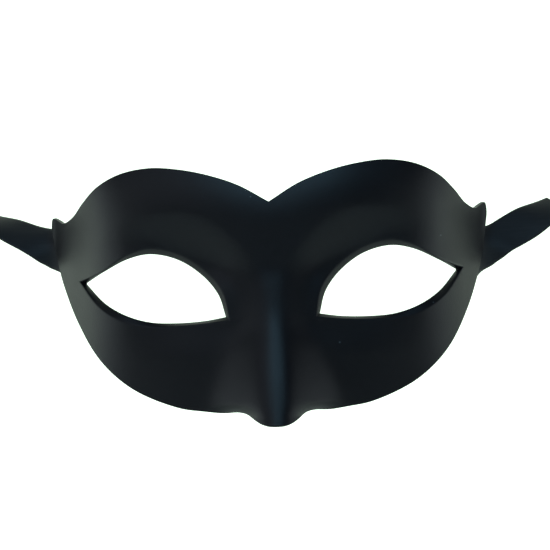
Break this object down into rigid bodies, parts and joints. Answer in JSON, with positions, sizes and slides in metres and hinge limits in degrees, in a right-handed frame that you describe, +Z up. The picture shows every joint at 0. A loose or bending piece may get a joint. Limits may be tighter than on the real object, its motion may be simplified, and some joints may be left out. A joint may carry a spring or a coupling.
{
  "type": "half mask",
  "caption": "Moulded half mask with almond eye openings, a ridged nose and curled wing ends, tied on with ribbons glued behind the wings.",
  "frame": {"origin": "on the inner face of the bridge, midway between the eyes, where the mask sits on the nose", "axes": "+Z up the face, +Y towards the wearer, so -Y is the way the mask looks, and +X to the right of someone who looks at its front"},
  "size_m": [0.2457, 0.1041, 0.1069],
  "materials": {
    "shell_plastic": "matt",
    "ribbon_satin": "satin weave"
  },
  "bodies": {
    "root": {"mask_shell": "shell_plastic", "ribbon_left": "ribbon_satin", "ribbon_right": "ribbon_satin"}
  },
  "joints": []
}
